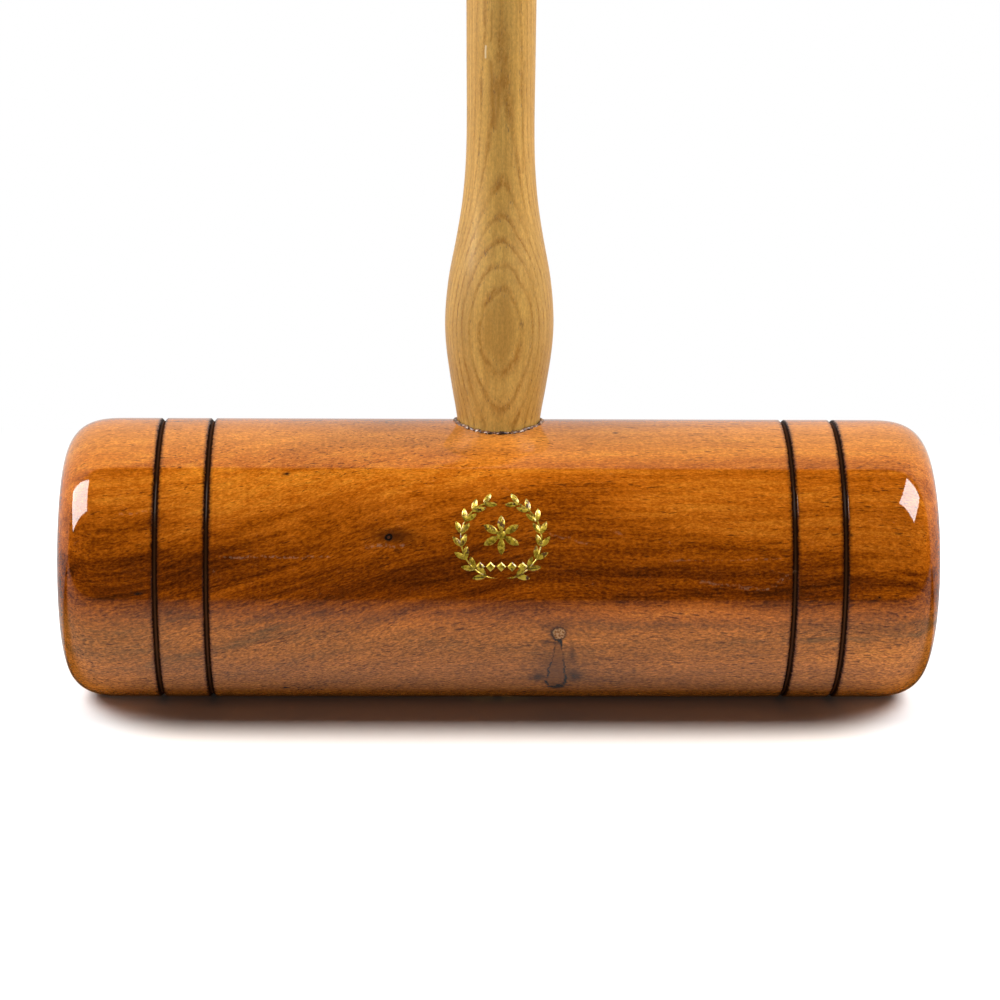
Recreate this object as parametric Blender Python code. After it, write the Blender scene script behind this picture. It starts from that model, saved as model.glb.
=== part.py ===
# A long-handled wooden mallet for lawn games, with a turned hardwood head and a turned ash handle.
# The handle's tenon goes right through the head and is glued and wedged from below.
# +Z runs up the handle, X runs along the head, and the front, with the gilt ornament, faces -Y.
# The origin is on the ground, under the middle of the head. All lengths are in metres.

import math

import bmesh
import bpy
from mathutils import Vector

# Head
HEAD_LENGTH = 0.2286
HEAD_RADIUS = 0.0365
HEAD_STEPS = 64
FACE_FLAT_RADIUS = 0.008
FACE_DOME = 0.0010
CORNER_LENGTH = 0.0167
CORNER_DEPTH = 0.0186
CORNER_POWER = 3.2
CORNER_POINTS = 8
OUTER_GROOVE_X = 0.0874
INNER_GROOVE_X = 0.0745
GROOVE_WIDTH = 0.0017
GROOVE_DEPTH = 0.0008
GROOVE_FLOOR_SHARE = 0.4

# Handle: its radius at chosen heights above the ground, from the neck at the head to the grip
OVERALL_HEIGHT = 0.9144
HANDLE_STEPS = 48
TENON_RADIUS = 0.0108
HANDLE_RADII = [
    (0.0700, 0.0108),
    (0.0735, 0.0108),
    (0.0800, 0.0119),
    (0.0880, 0.0132),
    (0.0940, 0.01392),
    (0.0993, 0.01412),
    (0.1050, 0.01384),
    (0.1120, 0.0130),
    (0.1200, 0.01145),
    (0.1300, 0.00983),
    (0.1400, 0.00898),
    (0.1500, 0.00875),
    (0.1650, 0.00886),
    (0.2000, 0.00914),
    (0.5000, 0.0118),
    (0.7500, 0.0140),
    (0.9054, 0.0147),
]
STRETCH_RINGS = 2
BUTT_ROUNDING = 0.0090
BUTT_POINTS = 5

# Joint
MESH_GAP = 0.0003
BORE_RADIUS = TENON_RADIUS + MESH_GAP
WEDGE_DEPTH = 0.042
WEDGE_THICK_END = 0.0026
WEDGE_THIN_END = 0.0010
WEDGE_HALF_WIDTH = 0.0105
BEAD_RADIUS = 0.0005
BEAD_SIDES = 6
BEAD_STEPS = 56

# Gilt ornament, centred on the front of the head at an angle above the horizontal
ORNAMENT_ANGLE = math.radians(18.4)
ORNAMENT_HALF_WIDTH = 0.0131
ORNAMENT_HALF_HEIGHT = 0.0129
ORNAMENT_BAND = 0.0022
ORNAMENT_THICKNESS = 0.0002
ORNAMENT_STEPS = 56

AXIS_HEIGHT = HEAD_RADIUS

# How far pieces and cutting tools run past the surface that trims them
CUT_MARGIN = 0.010
TRIM_MARGIN = 0.002
KERF_MARGIN = 0.004
SOLE_FORM_HALF_LENGTH = 0.020
MERGE_DISTANCE = 0.000001
SHARP_ANGLE = math.radians(32)


def clearScene():
    for item in list(bpy.data.objects):
        bpy.data.objects.remove(item, do_unlink=True)


def makeMaterial(name, color, roughness, metallic=0.0):
    material = bpy.data.materials.new(name)
    material.use_nodes = True
    shader = material.node_tree.nodes["Principled BSDF"]
    shader.inputs["Base Color"].default_value = (*color, 1.0)
    shader.inputs["Roughness"].default_value = roughness
    shader.inputs["Metallic"].default_value = metallic
    material.diffuse_color = (*color, 1.0)
    return material


def makeObject(name, shape, material=None):
    """Turn a bmesh into a named object, smooth except at its sharp edges."""
    bmesh.ops.recalc_face_normals(shape, faces=shape.faces)
    mesh = bpy.data.meshes.new(name)
    shape.to_mesh(mesh)
    shape.free()
    item = bpy.data.objects.new(name, mesh)
    bpy.context.collection.objects.link(item)
    if material:
        mesh.materials.append(material)
    mesh.shade_smooth()
    mesh.set_sharp_from_angle(angle=SHARP_ANGLE)
    return item


def makeCutter(name, shape):
    cutter = makeObject(name, shape)
    cutter.hide_render = True
    cutter.display_type = "WIRE"
    return cutter


def applyBoolean(item, cutter, operation):
    modifier = item.modifiers.new(cutter.name, "BOOLEAN")
    modifier.operation = operation
    modifier.solver = "EXACT"
    modifier.object = cutter


def turnedShape(points, axis, centre, steps):
    """Spin an open outline, which starts and ends on the axis, into a closed solid."""
    shape = bmesh.new()
    verts = [shape.verts.new(point) for point in points]
    edges = [shape.edges.new(pair) for pair in zip(verts, verts[1:])]
    bmesh.ops.spin(
        shape,
        geom=verts + edges,
        cent=centre,
        axis=axis,
        angle=math.tau,
        steps=steps,
        use_merge=True,
    )
    bmesh.ops.remove_doubles(shape, verts=shape.verts, dist=MERGE_DISTANCE)
    return shape


def extrudedShape(points, sweep):
    """Extrude a closed flat outline along a vector into a solid."""
    shape = bmesh.new()
    base = shape.faces.new([shape.verts.new(point) for point in points])
    grown = bmesh.ops.extrude_face_region(shape, geom=[base], use_keep_orig=True)
    moved = [part for part in grown["geom"] if isinstance(part, bmesh.types.BMVert)]
    bmesh.ops.translate(shape, verts=moved, vec=sweep)
    return shape


def grooveOutline(centre):
    """Four points of a rounded groove: its edges are on the surface and its floor is narrower."""
    half = GROOVE_WIDTH / 2
    halfFloor = half * GROOVE_FLOOR_SHARE
    floor = HEAD_RADIUS - GROOVE_DEPTH
    return [
        (centre - half, HEAD_RADIUS),
        (centre - halfFloor, floor),
        (centre + halfFloor, floor),
        (centre + half, HEAD_RADIUS),
    ]


def headOutline():
    """Distance along the head and radius, from the middle to the right face, then mirrored."""
    half = HEAD_LENGTH / 2
    cornerStart = half - FACE_DOME - CORNER_LENGTH
    right = grooveOutline(INNER_GROOVE_X) + grooveOutline(OUTER_GROOVE_X)
    for index in range(CORNER_POINTS + 1):
        turn = index / CORNER_POINTS * math.pi / 2
        along = cornerStart + CORNER_LENGTH * math.sin(turn) ** (2 / CORNER_POWER)
        inward = CORNER_DEPTH * (1 - math.cos(turn) ** (2 / CORNER_POWER))
        right.append((along, HEAD_RADIUS - inward))
    middle = (HEAD_RADIUS - CORNER_DEPTH + FACE_FLAT_RADIUS) / 2
    right.append((half - FACE_DOME / 4, middle))
    right.append((half, FACE_FLAT_RADIUS))
    right.append((half, 0.0))
    left = [(-along, radius) for along, radius in reversed(right)]
    return left + right


def makeHead(material):
    points = [(along, 0.0, AXIS_HEIGHT - radius) for along, radius in headOutline()]
    shape = turnedShape(points, (1, 0, 0), (0, 0, AXIS_HEIGHT), HEAD_STEPS)
    head = makeObject("head", shape, material)
    bore = turnedShape(
        [
            (0, 0, 2 * HEAD_RADIUS + CUT_MARGIN),
            (BORE_RADIUS, 0, 2 * HEAD_RADIUS + CUT_MARGIN),
            (BORE_RADIUS, 0, -CUT_MARGIN),
            (0, 0, -CUT_MARGIN),
        ],
        (0, 0, 1),
        (0, 0, 0),
        HANDLE_STEPS,
    )
    applyBoolean(head, makeCutter("bore_cutter", bore), "DIFFERENCE")
    return head


def smoothRadius(index, share):
    """Radius on the smooth curve between two neighbouring entries of HANDLE_RADII."""
    def slope(at):
        before = HANDLE_RADII[max(at - 1, 0)]
        after = HANDLE_RADII[min(at + 1, len(HANDLE_RADII) - 1)]
        return (after[1] - before[1]) / (after[0] - before[0])

    lowHeight, lowRadius = HANDLE_RADII[index]
    highHeight, highRadius = HANDLE_RADII[index + 1]
    span = highHeight - lowHeight
    rise = share * share * (3 - 2 * share)
    lowPull = share * (1 - share) ** 2 * span * slope(index)
    highPull = share * share * (1 - share) * span * slope(index + 1)
    return lowRadius + (highRadius - lowRadius) * rise + lowPull - highPull


def handleOutline():
    """Radius and height from the rounded butt at the top down to the tenon's end."""
    rising = [(0.0, -TRIM_MARGIN), (TENON_RADIUS, -TRIM_MARGIN)]
    for index in range(len(HANDLE_RADII) - 1):
        for ring in range(STRETCH_RINGS):
            share = ring / STRETCH_RINGS
            height = HANDLE_RADII[index][0] * (1 - share) + HANDLE_RADII[index + 1][0] * share
            rising.append((smoothRadius(index, share), height))
    topRadius = HANDLE_RADII[-1][1]
    for index in range(BUTT_POINTS + 1):
        turn = index / BUTT_POINTS * math.pi / 2
        radius = topRadius - BUTT_ROUNDING * (1 - math.cos(turn))
        rising.append((radius, OVERALL_HEIGHT - BUTT_ROUNDING * (1 - math.sin(turn))))
    rising.append((0.0, OVERALL_HEIGHT))
    return list(reversed(rising))


def makeSoleForm():
    """The space that a tenon trimmed flush with the head's round underside may fill."""
    half = HEAD_STEPS // 4
    outline = []
    for step in range(-half, half + 1):
        turn = step / HEAD_STEPS * math.tau
        height = AXIS_HEIGHT - HEAD_RADIUS * math.cos(turn)
        outline.append((-SOLE_FORM_HALF_LENGTH, HEAD_RADIUS * math.sin(turn), height))
    top = OVERALL_HEIGHT + CUT_MARGIN
    outline.append((-SOLE_FORM_HALF_LENGTH, HEAD_RADIUS, top))
    outline.append((-SOLE_FORM_HALF_LENGTH, -HEAD_RADIUS, top))
    sweep = Vector((2 * SOLE_FORM_HALF_LENGTH, 0, 0))
    return makeCutter("sole_form", extrudedShape(outline, sweep))


def wedgeShape(grow, halfWidth, below, depth):
    """A tapered wedge in the tenon, thick at the sole, grown on each side by a clearance."""
    thick = WEDGE_THICK_END / 2 + grow
    thin = WEDGE_THIN_END / 2 + grow
    outline = [(-thick, -below), (thick, -below), (thin, depth), (-thin, depth)]
    points = [(along, -halfWidth, height) for along, height in outline]
    return extrudedShape(points, Vector((0, 2 * halfWidth, 0)))


def makeHandle(material, soleForm):
    points = [(radius, 0.0, height) for radius, height in handleOutline()]
    handle = makeObject("handle", turnedShape(points, (0, 0, 1), (0, 0, 0), HANDLE_STEPS), material)
    applyBoolean(handle, soleForm, "INTERSECT")
    kerf = wedgeShape(MESH_GAP, 2 * TENON_RADIUS, KERF_MARGIN, WEDGE_DEPTH + 2 * MESH_GAP)
    applyBoolean(handle, makeCutter("kerf_cutter", kerf), "DIFFERENCE")
    return handle


def makeWedge(material, soleForm):
    shape = wedgeShape(0.0, WEDGE_HALF_WIDTH, TRIM_MARGIN, WEDGE_DEPTH)
    wedge = makeObject("wedge", shape, material)
    applyBoolean(wedge, soleForm, "INTERSECT")
    return wedge


def loopShape(rings):
    """Bridge a closed row of rings, each a list of points, into a ring-shaped solid."""
    shape = bmesh.new()
    rows = [[shape.verts.new(point) for point in ring] for ring in rings]
    for index, row in enumerate(rows):
        following = rows[(index + 1) % len(rows)]
        for side in range(len(row)):
            other = (side + 1) % len(row)
            shape.faces.new((row[side], row[other], following[other], following[side]))
    return shape


def makeBead(material):
    """A round bead that follows the crease between the handle and the head's round top."""
    reach = TENON_RADIUS + 2 * MESH_GAP + BEAD_RADIUS
    lift = HEAD_RADIUS + MESH_GAP + BEAD_RADIUS
    rings = []
    for step in range(BEAD_STEPS):
        turn = step / BEAD_STEPS * math.tau
        outward = Vector((math.cos(turn), math.sin(turn), 0))
        height = AXIS_HEIGHT + math.sqrt(lift**2 - (reach * outward.y) ** 2)
        middle = outward * reach + Vector((0, 0, height))
        ring = []
        for side in range(BEAD_SIDES):
            around = side / BEAD_SIDES * math.tau
            offset = outward * math.cos(around) + Vector((0, 0, math.sin(around)))
            ring.append(middle + BEAD_RADIUS * offset)
        rings.append(ring)
    return makeObject("shoulder_bead", loopShape(rings), material)


def frontPoint(across, up, lift):
    """A point of the head's front, measured along the curved surface from the ornament's centre."""
    angle = ORNAMENT_ANGLE + up / HEAD_RADIUS
    radius = HEAD_RADIUS + lift
    return Vector((across, -radius * math.cos(angle), AXIS_HEIGHT + radius * math.sin(angle)))


def makeOrnament(material):
    """A thin oval band of foil wrapped on the head's front."""
    rings = []
    for step in range(ORNAMENT_STEPS):
        turn = step / ORNAMENT_STEPS * math.tau
        ring = []
        for inset, lift in (
            (0.0, MESH_GAP),
            (ORNAMENT_BAND, MESH_GAP),
            (ORNAMENT_BAND, MESH_GAP + ORNAMENT_THICKNESS),
            (0.0, MESH_GAP + ORNAMENT_THICKNESS),
        ):
            across = (ORNAMENT_HALF_WIDTH - inset) * math.cos(turn)
            up = (ORNAMENT_HALF_HEIGHT - inset) * math.sin(turn)
            ring.append(frontPoint(across, up, lift))
        rings.append(ring)
    return makeObject("gilt_ornament", loopShape(rings), material)


def main():
    clearScene()
    soleForm = makeSoleForm()
    makeHead(makeMaterial("lacquered_hardwood", (0.36, 0.10, 0.022), 0.22))
    makeHandle(makeMaterial("pale_ash", (0.58, 0.35, 0.15), 0.42), soleForm)
    makeWedge(makeMaterial("wedge_hardwood", (0.30, 0.13, 0.05), 0.4), soleForm)
    makeBead(makeMaterial("set_glue", (0.05, 0.02, 0.01), 0.25))
    makeOrnament(makeMaterial("gold_foil", (0.83, 0.58, 0.17), 0.28, 1.0))


main()
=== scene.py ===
import math

import bpy
from mathutils import Matrix, Vector


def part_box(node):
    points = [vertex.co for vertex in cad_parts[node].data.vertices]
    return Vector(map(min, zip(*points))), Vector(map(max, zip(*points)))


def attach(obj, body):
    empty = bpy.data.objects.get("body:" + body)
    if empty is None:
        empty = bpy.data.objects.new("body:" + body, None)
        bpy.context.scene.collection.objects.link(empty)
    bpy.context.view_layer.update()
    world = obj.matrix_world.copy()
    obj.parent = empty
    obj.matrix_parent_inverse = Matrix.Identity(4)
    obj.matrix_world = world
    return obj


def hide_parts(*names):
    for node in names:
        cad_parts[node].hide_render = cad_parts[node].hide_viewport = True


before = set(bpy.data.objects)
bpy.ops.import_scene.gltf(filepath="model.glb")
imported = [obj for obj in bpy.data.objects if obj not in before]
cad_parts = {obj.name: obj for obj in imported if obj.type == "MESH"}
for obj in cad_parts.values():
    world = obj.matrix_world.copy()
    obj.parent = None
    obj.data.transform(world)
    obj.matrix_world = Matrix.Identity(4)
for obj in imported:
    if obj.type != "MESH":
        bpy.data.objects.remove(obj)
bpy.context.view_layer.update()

print("frame loaded with", len(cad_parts), "CAD pieces")

# Places and sizes that every piece shares, read from the frame. Lengths are in metres.
headLow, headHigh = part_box("head")
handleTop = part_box("handle")[1].z
headRadius = (headHigh.z - headLow.z) / 2
headHalf = headHigh.x
axisHeight = headLow.z + headRadius
mm = 0.001


def setMode(mode):
    bpy.ops.object.mode_set(mode=mode)


def deselectAll():
    if bpy.context.object and bpy.context.object.mode != "OBJECT":
        setMode("OBJECT")
    bpy.ops.object.select_all(action="DESELECT")


def pickOnly(piece):
    deselectAll()
    piece.select_set(True)
    bpy.context.view_layer.objects.active = piece


def pickFaces(piece, wanted):
    # leave the piece in edit mode with only the wanted faces selected
    pickOnly(piece)
    setMode("EDIT")
    bpy.ops.mesh.select_mode(type="FACE")
    bpy.ops.mesh.select_all(action="DESELECT")
    setMode("OBJECT")
    for face in piece.data.polygons:
        face.select = wanted(face)
    setMode("EDIT")


def nameActive(name):
    piece = bpy.context.object
    piece.name = name
    piece.data.name = name
    return piece


def settle(piece):
    # leave the piece at the origin, unturned and unscaled
    pickOnly(piece)
    bpy.ops.object.transform_apply(location=True, rotation=True, scale=True)


def applyAll(piece):
    pickOnly(piece)
    for modifier in list(piece.modifiers):
        bpy.ops.object.modifier_apply(modifier=modifier.name)


def smoothBelow(degrees):
    # shade smooth, keeping edges that turn by more than this sharp
    bpy.ops.object.shade_smooth_by_angle(angle=math.radians(degrees))


def turnOnLathe(name, outline, axis, centre, steps):
    # draw the outline by extruding one vertex from point to point, then spin it
    deselectAll()
    bpy.ops.mesh.primitive_plane_add(size=mm, location=outline[0])
    piece = nameActive(name)
    setMode("EDIT")
    bpy.ops.mesh.merge(type="CENTER")
    for start, end in zip(outline, outline[1:]):
        step = Vector(end) - Vector(start)
        bpy.ops.mesh.extrude_vertices_move(TRANSFORM_OT_translate={"value": step})
    bpy.ops.mesh.select_all(action="SELECT")
    bpy.ops.mesh.spin(steps=steps, angle=math.tau, center=centre, axis=axis, use_auto_merge=True)
    bpy.ops.mesh.select_all(action="SELECT")
    bpy.ops.mesh.remove_doubles(threshold=mm / 1000)
    bpy.ops.mesh.normals_make_consistent(inside=False)
    setMode("OBJECT")
    settle(piece)
    return piece


def cutWith(piece, cutter, operation):
    modifier = piece.modifiers.new(operation.lower(), "BOOLEAN")
    modifier.operation = operation
    modifier.solver = "EXACT"
    modifier.object = cutter
    applyAll(piece)


def dropTool(tool):
    bpy.data.objects.remove(tool, do_unlink=True)


def isSocket(value):
    return isinstance(value, bpy.types.NodeSocket)


def feed(value, socket):
    socket.id_data.links.new(value, socket)


def addNode(kind, inputs, tree=None, **settings):
    # the node goes in the given tree, or else in the tree of the sockets that feed it
    tree = tree or next(value.id_data for value in inputs.values() if isSocket(value))
    node = tree.nodes.new("ShaderNode" + kind)
    for name, value in settings.items():
        setattr(node, name, value)
    for name, value in inputs.items():
        if isSocket(value):
            feed(value, node.inputs[name])
        else:
            node.inputs[name].default_value = value
    return node


def math1(operation, first, second=0.0, clamp=False):
    return addNode("Math", {0: first, 1: second}, operation=operation, use_clamp=clamp).outputs[0]


def plus(first, second):
    return math1("ADD", first, second)


def minus(first, second):
    return math1("SUBTRACT", first, second)


def times(first, second):
    return math1("MULTIPLY", first, second)


def swing(noise, amount):
    # a noise about 0.5 turned into a change about 0
    return times(minus(noise, 0.5), amount)


def vector1(operation, first, second):
    return addNode("VectorMath", {0: first, 1: second}, operation=operation).outputs[0]


def splitXyz(vector):
    return addNode("SeparateXYZ", {"Vector": vector}).outputs


def joinXyz(x, y, z=0.0):
    return addNode("CombineXYZ", {"X": x, "Y": y, "Z": z}).outputs[0]


def lengthOf(vector):
    return addNode("VectorMath", {0: vector}, operation="LENGTH").outputs["Value"]


def scaled(vector, factor):
    return addNode("VectorMath", {0: vector, "Scale": factor}, operation="SCALE").outputs[0]


def remap(value, low, high, outLow=0.0, outHigh=1.0, smooth=True):
    inputs = {"Value": value, "From Min": low, "From Max": high, "To Min": outLow, "To Max": outHigh}
    kind = "SMOOTHSTEP" if smooth else "LINEAR"
    return addNode("MapRange", inputs, interpolation_type=kind).outputs["Result"]


def fadeOut(value, low, high):
    return remap(value, low, high, 1.0, 0.0)


def mixColor(factor, first, second):
    inputs = {0: factor, 6: first, 7: second}
    for index in (6, 7):
        if not isSocket(inputs[index]):
            inputs[index] = (*inputs[index], 1.0)
    return addNode("Mix", inputs, data_type="RGBA").outputs[2]


def layOver(color, layers):
    # each layer is a mask and the colour that it lets through, the last one on top
    for mask, tint in layers:
        color = mixColor(mask, color, tint)
    return color


def colorRamp(factor, stops, interpolation="LINEAR"):
    node = addNode("ValToRGB", {"Fac": factor})
    node.color_ramp.interpolation = interpolation
    points = node.color_ramp.elements
    while len(points) < len(stops):
        points.new(0.5)
    for point, (place, color) in zip(points, stops):
        point.position = place
        point.color = (*color, 1.0)
    return node.outputs["Color"]


def noiseAt(vector, scale, detail=2.0, roughness=0.5, distortion=0.0):
    inputs = {"Vector": vector, "Scale": scale, "Detail": detail, "Roughness": roughness}
    inputs["Distortion"] = distortion
    return addNode("TexNoise", inputs).outputs["Fac"]


def stretchBy(vector, along, across):
    # scale a vector so that a noise of scale 1 makes marks of about these lengths
    return vector1("MULTIPLY", vector, (1 / along, 1 / across, 1 / across))


def newGroup(name, inputs, outputs):
    # every input is a number or a vector, as its default value says, and every output is a number
    tree = bpy.data.node_groups.new(name, "ShaderNodeTree")
    for label, value in inputs.items():
        kind = "NodeSocketVector" if isinstance(value, tuple) else "NodeSocketFloat"
        socket = tree.interface.new_socket(label, in_out="INPUT", socket_type=kind)
        socket.default_value = value
    for label in outputs:
        tree.interface.new_socket(label, in_out="OUTPUT", socket_type="NodeSocketFloat")
    start = tree.nodes.new("NodeGroupInput")
    end = tree.nodes.new("NodeGroupOutput")
    return tree, start.outputs, end.inputs


def placeGroup(group, inputs):
    return addNode("Group", inputs, node_tree=group).outputs


def newMaterial(name, **shaderSettings):
    material = bpy.data.materials.new(name)
    material.use_nodes = True
    shader = material.node_tree.nodes["Principled BSDF"]
    for label, value in shaderSettings.items():
        shader.inputs[label.replace("_", " ")].default_value = value
    place = addNode("TexCoord", {}, material.node_tree).outputs["Object"]
    return material, shader.inputs, place


def dress(piece, material):
    piece.data.materials.clear()
    piece.data.materials.append(material)


def bumpFrom(height, distance, socket):
    bump = addNode("Bump", {"Height": height, "Distance": distance, "Strength": 1.0})
    feed(bump.outputs["Normal"], socket)


def makeGrainGroup():
    # marks of a wood whose grain runs along X: broad streaks, fine streaks and open pores
    inputs = {"Vector": (0.0, 0.0, 0.0), "Streak Length": 0.05, "Streak Width": 0.004}
    inputs.update({"Pore Length": 0.003, "Pore Width": 0.0003})
    group, given, out = newGroup("woodGrain", inputs, ("Broad", "Fine", "Pores"))

    def stretched(length, width):
        across = math1("DIVIDE", 1.0, width)
        scale = joinXyz(math1("DIVIDE", 1.0, length), across, across)
        return vector1("MULTIPLY", given["Vector"], scale)

    broadPlace = stretched(given["Streak Length"], given["Streak Width"])
    feed(noiseAt(broadPlace, 1.0, 4.0, 0.62, 0.3), out["Broad"])
    finePlace = vector1("MULTIPLY", broadPlace, (2.6, 4.5, 4.5))
    feed(noiseAt(finePlace, 1.0, 3.0, 0.6), out["Fine"])
    porePlace = stretched(given["Pore Length"], given["Pore Width"])
    pore = noiseAt(porePlace, 1.0, 1.0, 0.5)
    spread = noiseAt(broadPlace, 0.8, 2.0, 0.5)
    edge = remap(spread, 0.3, 0.7, 0.72, 0.6, smooth=False)
    excess = minus(pore, edge)
    feed(remap(excess, 0.0, 0.06), out["Pores"])
    return group


def makeScuffGroup():
    # what handling does to a varnished surface: hairline scratches and a cloudy change of gloss
    inputs = {"Vector": (0.0, 0.0, 0.0), "Amount": 0.5}
    group, given, out = newGroup("handlingWear", inputs, ("Hairlines", "Cloud"))
    lines = None
    for turn, long in ((0.35, 0.020), (-0.6, 0.013), (1.35, 0.016)):
        turned = addNode("Mapping", {"Vector": given["Vector"], "Rotation": (0.2, turn, 0.3)})
        place = stretchBy(turned.outputs[0], long, 0.0005)
        noise = noiseAt(place, 1.0, 0.0, 0.5)
        ridge = math1("ABSOLUTE", minus(noise, 0.5))
        line = fadeOut(ridge, 0.0, 0.006)
        where = remap(noiseAt(given["Vector"], 90.0 + 40.0 * turn, 2.0), 0.56, 0.66)
        line = times(line, where)
        lines = line if lines is None else math1("MAXIMUM", lines, line)
    feed(times(lines, given["Amount"]), out["Hairlines"])
    feed(noiseAt(given["Vector"], 60.0, 3.0, 0.6), out["Cloud"])
    return group


def makeLineGroup():
    # 1 along a straight line between two points, fading to 0 at the given half width
    inputs = {"Place": (0.0, 0.0, 0.0), "Start": (0.0, 0.0, 0.0), "End": (0.01, 0.0, 0.0)}
    group, given, out = newGroup("lineMark", {**inputs, "Half Width": 0.001}, ("Mask",))
    line = vector1("SUBTRACT", given["End"], given["Start"])
    offset = vector1("SUBTRACT", given["Place"], given["Start"])
    reach = addNode("VectorMath", {0: offset, 1: line}, operation="DOT_PRODUCT").outputs["Value"]
    length = addNode("VectorMath", {0: line, 1: line}, operation="DOT_PRODUCT").outputs["Value"]
    share = math1("DIVIDE", reach, length, clamp=True)
    distance = lengthOf(vector1("SUBTRACT", offset, scaled(line, share)))
    feed(fadeOut(distance, 0.0, given["Half Width"]), out["Mask"])
    return group


def makeSpotGroup():
    # 1 in the middle of an ellipse, fading to 0 at its edge
    inputs = {"Place": (0.0, 0.0, 0.0), "Centre": (0.0, 0.0, 0.0), "Half Size": (0.01, 0.01, 1.0)}
    group, given, out = newGroup("spotMark", {**inputs, "Core": 0.0}, ("Mask",))
    offset = vector1("SUBTRACT", given["Place"], given["Centre"])
    reach = lengthOf(vector1("DIVIDE", offset, given["Half Size"]))
    feed(fadeOut(reach, given["Core"], 1.0), out["Mask"])
    return group


def grainAlong(place, streak, pore):
    # streak and pore are each a length and a width
    inputs = {"Vector": place, "Streak Length": streak[0], "Streak Width": streak[1]}
    inputs["Pore Length"], inputs["Pore Width"] = pore
    return placeGroup(grainGroup, inputs)


lineGroup = makeLineGroup()
spotGroup = makeSpotGroup()
grainGroup = makeGrainGroup()
scuffGroup = makeScuffGroup()
print("shared effects built")

cameraSetup = {
    "side": -21.4 * mm,
    "distance": 858.4 * mm,
    "elevation": math.radians(11.01),
    "pitchDown": math.radians(9.995),
    "turnRight": math.radians(1.489),
    "roll": math.radians(0.395),
    "lens": 117.29,
    "sensor": 36,
    "clipStart": 10 * mm,
}


def placeCamera(setup):
    deselectAll()
    bpy.ops.object.camera_add()
    camera = bpy.context.object
    camera.name = "studioCamera"
    camera.data.lens = setup["lens"]
    camera.data.sensor_width = setup["sensor"]
    camera.data.clip_start = setup["clipStart"]
    turn = Matrix.Rotation(-setup["turnRight"], 4, "Z")
    tilt = Matrix.Rotation(math.pi / 2 - setup["pitchDown"], 4, "X")
    roll = Matrix.Rotation(setup["roll"], 4, "Z")
    back = setup["distance"] * math.cos(setup["elevation"])
    rise = setup["distance"] * math.sin(setup["elevation"])
    place = Matrix.Translation((setup["side"], -back, axisHeight + rise))
    camera.matrix_world = place @ turn @ tilt @ roll
    bpy.context.scene.camera = camera


placeCamera(cameraSetup)

studio = {
    "floorFront": -109 * mm,
    "floorBack": 0.45,
    "floorHalfWidth": 1.2,
    "apronFront": -1.2,
    "paper": (0.92, 0.925, 0.935),
    "seenInLacquer": 0.57,
    "sweepInLacquer": 0.65,
    "roomAir": 0.06,
    # painted shade on the paper: a warm bounce tint near the head, then a deeper contact shadow under it
    "paintedBounceTint": (0.92, 0.84, 0.78),
    "paintedContactShade": (0.45, 0.40, 0.37),
    # where each change of the paper starts and ends, from the middle of the head outwards
    "contactEnds": (0.078, 0.106),
    "contactReach": (0.028, 0.058),
    "nearHeadReach": (0.045, 0.080),
    "glowFrontEdge": (-0.109, -0.065),
    "glowUnderHead": (0.012, 0.030),
    "whiteRoom": (0.22, 0.50),
    # bearing from the front (+ is right), elevation, turn about its own aim, width, height, radiance.
    # The keys light the wood; the cards are the two windows that shine in the rounded ends.
    "keys": {
        "leftKey": (-103, 45, 0, 0.66, 0.66, 10.3),
        "rightKey": (103, 43, 0, 0.66, 0.66, 10.5),
        "frontFill": (0, 0, 0, 0.60, 0.07, 35.0),
    },
    "cards": {
        "leftCard": (-74.6, 37.2, -36.5, 0.459, 0.622, 14.0),
        "rightCard": (59.8, 47.2, 15.8, 0.464, 0.404, 14.0),
    },
}


def makePaper(name, yFront, yBack):
    deselectAll()
    bpy.ops.mesh.primitive_plane_add(size=1.0, location=(0, (yFront + yBack) / 2, 0))
    sheet = nameActive(name)
    setMode("EDIT")
    bpy.ops.transform.resize(value=(2 * studio["floorHalfWidth"], yBack - yFront, 1))
    setMode("OBJECT")
    settle(sheet)
    material, shader, place = newMaterial(name + "Paper", Roughness=0.9, Specular_IOR_Level=0.0)
    shade = noiseAt(place, 40.0, 3.0, 0.6)
    paper = mixColor(shade, studio["paper"], tuple(0.98 * part for part in studio["paper"]))
    # painted shadow: the paper is browner and deeper in tone where the head rests on it, a painted contact
    # shadow with the warm tint of light bounced off the wood
    parts = splitXyz(place)
    beside = math1("ABSOLUTE", parts["Y"])
    past = fadeOut(math1("ABSOLUTE", parts["X"]), *studio["contactEnds"])
    shadowMask = times(fadeOut(beside, *studio["contactReach"]), past)
    bounceMask = times(fadeOut(beside, *studio["nearHeadReach"]), past)
    paper = layOver(paper, ((bounceMask, studio["paintedBounceTint"]), (shadowMask, studio["paintedContactShade"])))
    feed(paper, shader["Base Color"])
    # the lacquer sees a soft sheet of light that dims towards its front edge and under the head
    nearEdge = remap(parts["Y"], *studio["glowFrontEdge"], 0.30, 1.0)
    underHead = remap(beside, *studio["glowUnderHead"])
    glow = times(times(nearEdge, underHead), studio["seenInLacquer"])
    sheetLight = addNode("Emission", {"Strength": glow}).outputs[0]
    tree = material.node_tree
    rays = addNode("LightPath", {}, tree).outputs
    matt = tree.nodes["Principled BSDF"].outputs[0]
    seen = addNode("MixShader", {0: rays["Is Glossy Ray"], 1: matt, 2: sheetLight}).outputs[0]
    # far from the object the paper fades into the white room
    away = lengthOf(place)
    fade = times(remap(away, *studio["whiteRoom"]), rays["Is Camera Ray"])
    white = addNode("Emission", {"Strength": 1.0}, tree).outputs[0]
    mix = addNode("MixShader", {0: fade, 1: seen, 2: white}).outputs[0]
    feed(mix, tree.nodes["Material Output"].inputs["Surface"])
    sheet.data.materials.append(material)
    return sheet


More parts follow.
